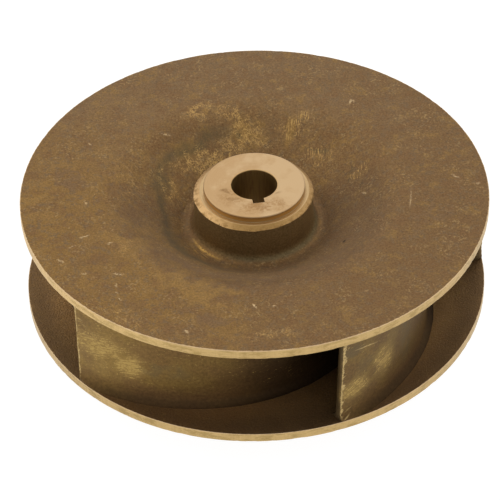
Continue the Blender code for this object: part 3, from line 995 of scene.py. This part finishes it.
def front_casting_finish():
    """Browned skin, smeared outside and less so in the passages, whose floor has painted light that makes it
    about twice as light, with the same turned rim.
    """
    finish = Finish("cast_bronze_front", Metallic=METALLIC)
    grain = browned(finish)
    above_middle = (finish.z - (FRONT_INNER_Z - RIM_THICKNESS / 2) / MM).rise(-0.5, 0.5)
    finish.coat(above_middle * 0.7, finish.scaled(PASSAGE_BROWN, grain * 0.8 + 0.6))
    # Painted light: the colour of the passage floor is about doubled.
    painted_light_on_floor = finish.radius.rise(126, 106) * finish.radius.rise(84, 102) * above_middle
    finish.tint(painted_light_on_floor, PASSAGE_PAINTED_LIGHT)
    smears = finish.clouds(14, detail=3.0, roughness=0.6).rise(0.42, 0.68)
    finish.coat(smears * (0.3 - above_middle * 0.2), DEEP_BROWN)
    finish.coat(finish.spokes(2.0, 40, 110).rise(0.58, 0.75, 0.25), RUBBED_GOLD)
    rim, lines = turned_rim(finish, FRONT_INNER_Z / MM, FRONT_OUTER_Z / MM, 0.0)
    return finish.done(0.55 - rim * 0.17 + grain * 0.08, grain + lines * rim * 0.3, 0.30)


def collar_finish():
    """Fine turned bronze with a few polished and dull bands."""
    finish = Finish("turned_bronze", Metallic=METALLIC)
    lines = finish.lathe_lines(0.30)
    bands = finish.lathe_lines(3.0, 0.5)
    finish.colour = finish.mix(bands.rise(0.35, 0.65), TURNED_BRASS, TURNED_DULL)
    finish.coat(lines.rise(0.45, 0.70, 0.4), EDGE_PINK)
    finish.coat(finish.clouds(12, detail=3.0).rise(0.40, 0.65, 0.25), OLIVE_BROWN)
    return finish.done(0.32 + bands * 0.12, lines, 0.05)


front_skin_finish = front_casting_finish()
turned_collar_finish = collar_finish()

# %% Front casting and collar meshes
COLLAR_BREAK = 1.0 * MM


def add_front_casting():
    section = section_line([
        *FRONT_WATER_SIDE,
        (RIM_RADIUS, FRONT_OUTER_Z, EDGE_BREAK, COARSE),
        (COLLAR_RADIUS, FRONT_OUTER_Z, THROAT_OUTER_BEND, FINE),
        (COLLAR_RADIUS, COLLAR_TOP_Z, 0, UNSEEN),
    ])
    angles = angles_round(TURN_ROWS)
    points = turn_about_axis(section, angles)
    points = roughened(points, section, [(EYE_RADIUS, COLLAR_TOP_Z), (COLLAR_RADIUS, COLLAR_TOP_Z)])
    points = worn_edges(points, section, angles, [(FRONT_INNER_Z, 1), (FRONT_OUTER_Z, -1)])
    return add_mesh("front_casting", points, front_skin_finish)


def add_collar():
    section = section_line([
        (EYE_RADIUS, 0.0, COLLAR_BREAK, FINE),
        (COLLAR_RADIUS, 0.0, COLLAR_BREAK, FINE),
        (COLLAR_RADIUS, COLLAR_TOP_Z, 0, UNSEEN),
        (EYE_RADIUS, COLLAR_TOP_Z, 0, FINE),
    ])
    points = turn_about_axis(section, angles_round(TURN_ROWS))
    return add_mesh("collar", points, turned_collar_finish)


front_casting = add_front_casting()
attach(front_casting, "root")
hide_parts("front_disc", "eye_throat")

collar = add_collar()
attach(collar, "root")
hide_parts("eye_collar")

# %% [markdown]
# ## The vanes' finish
# A bright burr runs up a vane's outer end. Behind it the blade is olive bronze with rubbed golden patches.
# Painted shade darkens it inwards, in the corner at its foot, on its hollow side and on its blunt end, and
# towards the foot it is browner with oxide and painted shade. Vanes 3 to 5 can't be seen in the photograph,
# so their marks are made up in the style of the other two. Each vane's UV map is its skin unrolled in
# millimetres: along the outer side from the end, and backwards round the end on to the hollow side, by the
# height above the foot.

# %% Vane finish
VANE_OLIVE = (0.24, 0.147, 0.04)
VANE_BROWN = (0.188, 0.107, 0.035)
VANE_PAINTED_SHADE = (0.125, 0.072, 0.026)
VANE_FOOT_OXIDE_AND_SHADE = (0.19, 0.106, 0.045)
VANE_GOLD = (0.48, 0.325, 0.1)
END_SHADE_GREY = (0.15, 0.105, 0.05)
BURR_BRIGHT = (0.58, 0.415, 0.175)
VANE_RUBS = [
    [(12, 32, 28, 16, -4, 1.1), (31, 24, 14, 14, -10, 1.35), (14, 30, 40, 32, 0, 0.5)],
    [(29, 27, 12, 14, 20, 1.2), (8, 20, 17, 10, 5, 1.1)],
    [(15, 34, 20, 14, 10, 1.2), (14, 28, 32, 28, 0, 0.4)],
    [(20, 22, 24, 13, -12, 1.2), (14, 28, 32, 28, 0, 0.4)],
    [(12, 30, 17, 18, 15, 1.2), (14, 28, 32, 28, 0, 0.4)],
]
BRUSH_TURNS = [9, 12, 8, -10, 5]
VANE_SCRATCHES = [
    [(1.5, 46.5, 4.5, 46.0, 0.6), (3.0, 44.0, 8.0, 42.5, 0.4)],
    [(5.0, 48.0, 26.0, 42.6, 1.0), (0.5, 0.6, 6.0, 3.6, 0.8), (2.0, 5.5, 7.0, 8.0, 0.5)],
    [(6.0, 20.0, 11.0, 18.0, 0.6)],
    [(5.0, 12.0, 9.0, 12.5, 0.6)],
    [(10.0, 40.0, 15.0, 41.0, 0.6)],
]
VANE_STAINS = [
    [(46, 24, 24, 10, 0, 0.6), (6, 47, 8, 5, 0, 0.4)],
    [(4, 48, 15, 8, -5, 0.9), (13, 33, 14, 9, 10, 0.5), (50, 26, 11, 34, 0, 0.6)],
    [(30, 16, 22, 9, 5, 0.6)],
    [(40, 36, 26, 8, -8, 0.6)],
    [(22, 12, 18, 8, 0, 0.6)],
]
BURR_WIDTHS = [0.45, 1.3, 1.2, 1.0, 1.5]
VANE_TONES = [0.97, 0.76, 0.95, 0.9, 0.95]
HOLLOW_START = -VANE_THICKNESS[0] / MM


def vane_finish(number):
    """Rubbed olive bronze for one vane, with that vane's own patches, scratches and burr, and painted shade.
    """
    finish = Finish(f"vane_bronze_{number + 1}", Metallic=METALLIC)
    run = finish.node("ShaderNodeUVMap", {"uv_map": "run"}, {})
    along, up, _ = finish.parts(run)
    cloud = finish.clouds(18, detail=3.0, roughness=0.6)
    finish.colour = finish.mix(cloud.rise(0.36, 0.66), VANE_BROWN, VANE_OLIVE)
    # Painted shade: the blade darkens inwards, deeper between the shrouds.
    finish.coat(abs(along).rise(25, 70, 0.45), VANE_PAINTED_SHADE)
    finish.coat(abs(along).rise(72, 112, 0.85), SHADE_AND_DIRT_BROWN)
    # Towards its foot the blade is browner: oxide and painted shade.
    foot = (up + cloud * 6).rise(19.0, 7.0)
    finish.coat(foot * abs(along).rise(110, 60) * (abs(along).rise(5, 45) * 0.5 + 0.3), VANE_FOOT_OXIDE_AND_SHADE)
    # Painted shade in the corner where the vane meets the shroud.
    painted_corner_shade = (up + cloud * 2).rise(6.5, 2.5, 0.55) * (abs(along).rise(2, 26) * 0.7 + 0.3)
    finish.coat(painted_corner_shade, SHADE_AND_DIRT_BROWN)
    # Painted shade on the vane's hollow side.
    finish.coat(along.rise(HOLLOW_START, HOLLOW_START - 3, 0.6), SHADE_AND_DIRT_BROWN)
    # Painted shade on the vane's blunt end.
    blunt_end = along.rise(0.0, -0.4) * along.rise(HOLLOW_START - 1, HOLLOW_START)
    finish.coat(blunt_end * 0.7, END_SHADE_GREY)
    grain = finish.clouds(1.5, detail=2.0, roughness=0.7)
    finish.colour = finish.scaled(finish.colour, (grain * 1.1 + 0.45) * VANE_TONES[number])

    brushed = finish.drawn_out(run, BRUSH_TURNS[number], 6, 0.7)
    specks = finish.clouds(1.1, detail=3.0, roughness=0.8)
    loose = finish.wobbled(run, 10, 3)
    stained = finish.patches(loose, VANE_STAINS[number], cloud, 1.2, 0.4)
    finish.coat(stained * 0.6, STAIN_GREEN)
    rubbed = finish.ovals(loose, VANE_RUBS[number])
    finish.coat(rubbed * 0.25, VANE_GOLD)
    streaks = (brushed * 0.55 + specks * 0.45 + (rubbed - 1.0) * 0.12).rise(0.475, 0.55, 0.75)
    finish.coat(streaks * up.rise(4.0, 10.0), VANE_GOLD)
    lines = finish.strokes(finish.wobbled(run, 2.2, 1.5), 0.55, VANE_SCRATCHES[number])
    finish.coat(lines * specks.rise(0.30, 0.50) * 0.8, BURR_BRIGHT)

    width = BURR_WIDTHS[number]
    ragged = finish.clouds(4.2, detail=5.0, roughness=0.75).rise(0.42, 0.62) * 1.7 + 0.1
    ragged = ragged + up.rise(46, 54)
    burr = (along - ragged * width).rise(0.30, -0.20) * along.rise(-0.5, -0.2) * up.rise(0.5, 7.0)
    burr = burr * (0.45 + specks.rise(0.40, 0.56) * 0.55)
    finish.coat(burr, BURR_BRIGHT)
    roughness = 0.48 + grain * 0.08 - burr * 0.08 + foot * 0.2
    return finish.done(roughness, grain * 0.6 + brushed * rubbed * 0.4 + burr * 0.5, 0.24)


# %% [markdown]
# ## The vanes
# A vane stands square between the shrouds and curls backward as it goes in. Its mean line is a spiral whose
# slope to the radius grows inwards, so the angle that it has turned through has a closed formula. The outer
# part follows the two feet that show in the photograph, and the rest carries the same curve on. Each side
# swells into a cast fillet at both shrouds, the end is cut blunt, and past the eye the foot lifts off the
# shroud and becomes the rounded, sloping leading edge.

# %% Vane sections
BLADE_STATIONS = 76
LEADING_STATIONS = 24
STATION_CROWDING = 1.6
ARC_POINTS = 9
RISE_POINTS = 78
FOOT_FILLET = 5.0 * MM
TOP_FILLET = 3.0 * MM
SINK = 0.25 * MM
REACH_LIMIT = RIM_RADIUS - 0.3 * MM
TIP_COLUMNS = 6
TIP_RUN = 4
TIP_BULGE = 0.5 * MM
TIP_LEANS = [0.2 * MM, 1.7 * MM, 0.6 * MM, -0.4 * MM, 0.9 * MM]
LEAN_FADE = 3.5 * MM
BEAD_HEIGHT = 0.45 * MM
BEAD_FADE = 0.12 * MM
BEAD_LAYERS = [(1.7 * MM, 1.0, 8), (5.0 * MM, 1.0, 9)]
BLADE_WAVES = [(9 * MM, 1.0, 10)]
BLADE_WAVE = 0.12 * MM
FILLET_ROOM = 0.4
LEAST_FILLET = 0.05 * MM
LIFT_RUN = 4.0 * MM
LEADING_BLUNT = 0.4 * MM
EYE_FOOT_Z = float(height_on(FRONT_WATER_SIDE, VANE_EYE_RADIUS))
HUB_FOOT_Z = float(height_on(BACK_WATER_SIDE, VANE_HUB_RADIUS))


def vane_turn(r):
    """Angle from the end in to radius r: the integral of 1 / (r slope), where slope = base - fall r / rim."""
    def whole(x):
        return np.log(x / (VANE_SLOPE_BASE - VANE_SLOPE_FALL * x / RIM_RADIUS)) / VANE_SLOPE_BASE
    return whole(VANE_TIP_RADIUS) - whole(r)


def vane_stations():
    """Radii along the mean line, crowded at the end, then evenly past the eye to the leading edge's tip."""
    shares = np.linspace(0, 1, BLADE_STATIONS, endpoint=False) ** STATION_CROWDING
    blade = VANE_TIP_RADIUS - (VANE_TIP_RADIUS - VANE_EYE_RADIUS) * shares
    leading = np.linspace(VANE_EYE_RADIUS, VANE_HUB_RADIUS + LEADING_BLUNT, LEADING_STATIONS)
    return np.concatenate([blade, leading])[:, None]


def vane_profile():
    """For each point from the foot to the top of a side: its arc angle and its share of the straight rise."""
    arc = np.linspace(0, pi / 2, ARC_POINTS)
    rise = np.linspace(0, 1, RISE_POINTS)[1:-1]
    angle = np.concatenate([arc, np.full(len(rise), pi / 2), arc[::-1]])
    share = np.concatenate([np.zeros(ARC_POINTS), rise, np.ones(ARC_POINTS)])
    return angle, share


def vane_mean_line(r, lean):
    """Points on the mean line and the unit direction square to it, at each radius and lean along the rim."""
    turned = vane_turn(r) - lean / r
    slope = (VANE_SLOPE_BASE - VANE_SLOPE_FALL * r / RIM_RADIUS)[..., None]
    out = np.stack([np.cos(turned), np.sin(turned)], -1)
    around = np.stack([-np.sin(turned), np.cos(turned)], -1)
    return out * r[..., None], (out + around * slope) / np.hypot(1, slope)


def burr_bead(number, r, share, rise):
    """The burr's height: it dies away from the end, and noise up the edge makes it ragged."""
    spot = np.stack([share * rise, np.full_like(share, number), np.zeros_like(share)], -1)
    ragged = layered(spot, BEAD_LAYERS)
    fade = np.exp((r - VANE_TIP_RADIUS) / (BEAD_FADE * BURR_WIDTHS[number]))
    return fade * np.clip(0.3 + 0.35 * ragged, 0, 1) * BEAD_HEIGHT * BURR_WIDTHS[number] ** 0.5


def vane_side(number, side):
    """One side of a vane as a grid, stations from the end to the leading edge by points from foot to top.

    A fillet of radius q at arc angle t stands q (1 - sin t) off the side and q (1 - cos t) off the shroud. On
    the leading edge, of half thickness h, the side stands h sin t off the mean line instead.
    """
    r = vane_stations()
    angle, share = vane_profile()
    lean = TIP_LEANS[number] * (1 - share) * np.exp((r - VANE_TIP_RADIUS) / LEAN_FADE)
    line, square = vane_mean_line(r, lean)
    inwards = (VANE_EYE_RADIUS - r) / (VANE_EYE_RADIUS - VANE_HUB_RADIUS)
    leading_z = EYE_FOOT_Z + (HUB_FOOT_Z - EYE_FOOT_Z) * inwards
    room = height_on(BACK_WATER_SIDE, r) - np.where(inwards > 0, leading_z, height_on(FRONT_WATER_SIDE, r))

    thickness_share = (VANE_TIP_RADIUS - r) / (VANE_TIP_RADIUS - VANE_HUB_RADIUS)
    half = np.interp(thickness_share, [0.0, 0.5, 1.0], VANE_THICKNESS) / 2
    low = np.clip(room * FILLET_ROOM, LEAST_FILLET, FOOT_FILLET)
    high = np.clip(room * FILLET_ROOM, LEAST_FILLET, TOP_FILLET)
    lifted = np.clip((VANE_EYE_RADIUS + LIFT_RUN / 2 - r) / LIFT_RUN, 0, 1)
    offset = half + np.where(share < 0.5, low, high) * (1 - np.sin(angle))
    rounded = half * np.maximum(np.sin(angle), 0.05)
    offset = np.where(share == 0, offset * (1 - lifted) + rounded * lifted, offset)
    if side > 0:
        offset = offset + burr_bead(number, r, share, room.max())
    height = np.broadcast_to(share * room.max(), offset.shape)[..., None]
    wave = layered(np.concatenate([line, height], -1), BLADE_WAVES)
    plan = line + square * (side * offset + wave * BLADE_WAVE)[..., None]
    reach = np.linalg.norm(plan, axis=-1)
    plan *= np.minimum(1, REACH_LIMIT / reach)[..., None]

    reach = np.minimum(reach, REACH_LIMIT)
    foot = np.where(inwards > 0, leading_z, height_on(FRONT_WATER_SIDE, reach) - SINK)
    top = height_on(BACK_WATER_SIDE, reach) + SINK
    low_round = np.minimum(low * (1 - lifted) + half * lifted, room * 0.45)
    z = (foot + low_round) * (1 - share) + (top - high) * share
    z = np.where(share == 0, foot + low_round * (1 - np.cos(angle)), z)
    z = np.where(share == 1, top - high * (1 - np.cos(angle)), z)
    steps = np.hypot(np.diff(r[:, 0]), np.diff(vane_turn(r[:, 0])) * r[1:, 0])
    span = np.concatenate([[0], np.cumsum(steps)])[:, None]
    uv = np.stack(np.broadcast_arrays(span, z - foot), -1) / MM
    return np.concatenate([plan, z[..., None]], -1), uv


print(vane_side(0, 1)[0].shape, "is the grid on one side of a vane")


# %% Vane meshes
def vane_end(convex, hollow):
    """Columns of points across the blunt end, bulging along the blade by 4 t (1 - t) of the bulge."""
    share = np.linspace(0, 1, TIP_COLUMNS + 2)[1:-1, None, None]
    ahead = (convex[0] + hollow[0] - convex[TIP_RUN] - hollow[TIP_RUN]) * (1, 1, 0)
    ahead /= np.linalg.norm(ahead, axis=-1, keepdims=True)
    end = hollow[0] * (1 - share) + convex[0] * share + ahead * TIP_BULGE * 4 * share * (1 - share)
    reach = np.linalg.norm(end[..., :2], axis=-1, keepdims=True)
    end[..., :2] *= np.minimum(1, REACH_LIMIT / reach)
    return end, share[..., 0]


def add_vane(number, azimuth):
    """A ring of rows: outer side, hollow side and end. Below and above it is closed by a ladder of quads."""
    convex, convex_uv = vane_side(number, 1)
    hollow, hollow_uv = vane_side(number, -1)
    end, share = vane_end(convex, hollow)
    end_u = np.broadcast_to(HOLLOW_START * (1 - share), end.shape[:2])
    end_uv = np.stack([end_u, np.broadcast_to(convex_uv[0, :, 1], end.shape[:2])], -1)
    hollow_uv = np.stack([HOLLOW_START - hollow_uv[..., 0], hollow_uv[..., 1]], -1)
    ring = np.concatenate([convex, hollow[::-1], end])
    ring_uv = np.concatenate([convex_uv, hollow_uv[::-1], end_uv])
    x, y, z = np.moveaxis(ring, -1, 0)
    c, s = cos(azimuth), sin(azimuth)
    ring = np.stack([x * c - y * s, x * s + y * c, z], -1)

    rows, columns = ring.shape[:2]
    outer = np.arange(-TIP_COLUMNS // 2, len(convex) - 1)
    facing = 2 * len(convex) - 1 - outer
    ladder = np.stack([outer % rows, (outer + 1) % rows, facing - 1, facing], -1) * columns
    top_ladder = ladder[:, ::-1] + columns - 1
    quads = np.concatenate([grid_quads(rows, columns, True, False), ladder, top_ladder])
    return add_mesh(f"vane_skin_{number + 1}", ring, vane_finish(number), quads, ring_uv)


def vane_azimuths():
    """The two front vanes stand a little closer than the others, which share the rest of the turn."""
    step = (2 * pi - FRONT_VANE_STEP) / (VANE_COUNT - 1)
    rest = [FRONT_VANE_AZIMUTH + step * k for k in range(VANE_COUNT - 1)]
    return [FRONT_VANE_AZIMUTH - FRONT_VANE_STEP] + rest


for number, azimuth in enumerate(vane_azimuths()):
    vane = add_vane(number, azimuth)
    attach(vane, "root")
    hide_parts(f"vane_{number + 1}")

# %% [markdown]
# ## Floor and light
# The photograph is cut out on plain white. Here the part stands on a plain white floor in soft light from all
# round, with one large lamp above and behind it. The room is a little darker on the camera's side, and that
# gives the metal its depth.

# %% Floor
FLOOR_HALF = 3.0
FLOOR_GREY = (0.16, 0.16, 0.16)
FLOOR_GLOW = 0.95
WHITE = (1.0, 1.0, 1.0)


def add_floor():
    h = FLOOR_HALF
    mesh = bpy.data.meshes.new("floor")
    mesh.from_pydata([(-h, -h, 0), (h, -h, 0), (h, h, 0), (-h, h, 0)], [], [(0, 1, 2, 3)])
    paint = Finish("pale_floor", Roughness=0.9, Emission_Strength=FLOOR_GLOW)
    paint.set(Base_Color=FLOOR_GREY, Emission_Color=WHITE)
    mesh.materials.append(paint.material)
    floor = add_object("floor", mesh)


add_floor()

# %% Light
ROOM_LIGHT = 1.0
CAMERA_SIDE_LOSS = 0.45
LAMP_PLACE = (-0.4, 0.5, 1.8)
LAMP_SIZE = 2.5
LAMP_POWER = 6.0


def add_lamp(name, place, size, power):
    """A large square lamp aimed at the middle of the part."""
    data = bpy.data.lights.new(name, "AREA")
    data.size = size
    data.energy = power
    lamp = add_object(name, data)
    lamp.location = place
    lamp.rotation_euler = (Vector((0, 0, BACK_INNER_Z)) - Vector(place)).to_track_quat("-Z", "Y").to_euler()


def set_room():
    """White light from every direction, less of it round the direction in which the camera stands."""
    world = bpy.data.worlds.new("studio")
    world.use_nodes = True
    room = Graph(world.node_tree)
    background = world.node_tree.nodes["Background"]
    direction = room.node("ShaderNodeTexCoord", {}, {}, "Generated")
    towards_camera = room.vector("DOT_PRODUCT", direction, tuple(TOWARDS_CAMERA), output=LENGTH_OUTPUT)
    room.feed(background.inputs["Color"], WHITE)
    room.feed(background.inputs["Strength"], ROOM_LIGHT - towards_camera.rise(0.35, 0.95, CAMERA_SIDE_LOSS))
    bpy.context.scene.world = world


set_room()
add_lamp("overhead", LAMP_PLACE, LAMP_SIZE, LAMP_POWER)
bpy.context.scene.view_settings.view_transform = "Standard"
